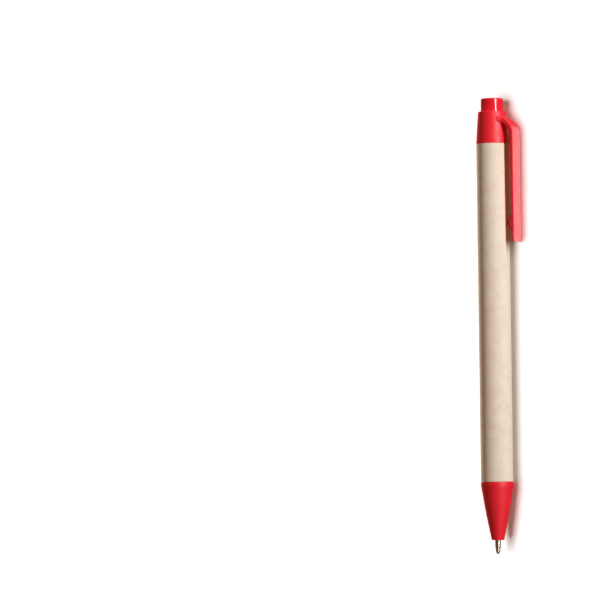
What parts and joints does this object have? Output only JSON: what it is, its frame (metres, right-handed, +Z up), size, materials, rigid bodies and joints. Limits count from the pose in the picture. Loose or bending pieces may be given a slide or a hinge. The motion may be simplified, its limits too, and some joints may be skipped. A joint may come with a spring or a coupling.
{
  "type": "retractable ballpoint pen",
  "caption": "Retractable ballpoint pen: kraft-paper barrel, red plastic nose, collar, springy clip and push button, with its refill, spring and indexing mechanism inside.",
  "frame": {"origin": "on the table under the middle of the pen's bounding box; the pen lies on its barrel and on one long corner of its clip", "axes": "+Y along the pen from the writing point to the button, +Z up, +X towards the side where the clip touches the table"},
  "size_m": [0.0136, 0.14, 0.01],
  "materials": {
    "red_satin_plastic": "moulded ABS, satin",
    "red_gloss_plastic": "moulded ABS, glossy",
    "kraft_paper": "smooth wound kraft paper, matt",
    "natural_plastic": "unpigmented polypropylene or acetal, satin",
    "clear_plastic": "translucent extruded polypropylene",
    "blue_ink": "oil-based ballpoint ink, wet",
    "nickel_silver": "turned nickel silver, bright",
    "spring_steel": "drawn spring wire, bright",
    "tungsten_carbide": "ground ball, polished"
  },
  "bodies": {
    "barrel": {"barrel_tube": "kraft_paper", "collar": "red_satin_plastic", "cam_sleeve": "natural_plastic", "return_spring": "spring_steel"},
    "nose": {"nose_cone": "red_satin_plastic"},
    "clip_arm": {"clip": "red_satin_plastic"},
    "button": {"push_button": "red_gloss_plastic", "cam_plunger": "natural_plastic"},
    "rotor": {"index_rotor": "natural_plastic"},
    "refill": {"refill_tube": "clear_plastic", "ink_column": "blue_ink", "refill_plug": "natural_plastic", "tip_holder": "natural_plastic", "point_housing": "nickel_silver"},
    "ball": {"writing_ball": "tungsten_carbide"}
  },
  "joints": [
    {"name": "button_press", "type": "slide", "parent": "barrel", "child": "button", "axis": [0, 1, 0], "range_m": [-0.0014, 0.006]},
    {"name": "rotor_slide", "type": "slide", "parent": "barrel", "child": "rotor", "axis": [0, 1, 0], "range_m": [-0.0014, 0.006]},
    {"name": "refill_slide", "type": "slide", "parent": "barrel", "child": "refill", "axis": [0, 1, 0], "range_m": [-0.0014, 0.006], "deforming": ["return_spring"]},
    {"name": "ball_roll", "type": "hinge", "parent": "refill", "child": "ball", "pos_m": [-0.00181, -0.0695, 0.00499], "axis": [1, 0, 0], "continuous": true},
    {"name": "clip_flex", "type": "hinge", "parent": "barrel", "child": "clip_arm", "pos_m": [0.00235, 0.064, 0.00355], "axis": [0.3263, 0, 0.9453], "range_deg": [0, 6], "stiffness_Nm_per_rad": 0.2},
    {"name": "nose_pull", "type": "slide", "parent": "barrel", "child": "nose", "axis": [0, -1, 0], "range_m": [0, 0.034]}
  ],
  "couplings": [
    {"joint": "rotor_slide", "follows": "button_press", "ratio": 1},
    {"joint": "refill_slide", "follows": "button_press", "ratio": 1}
  ]
}
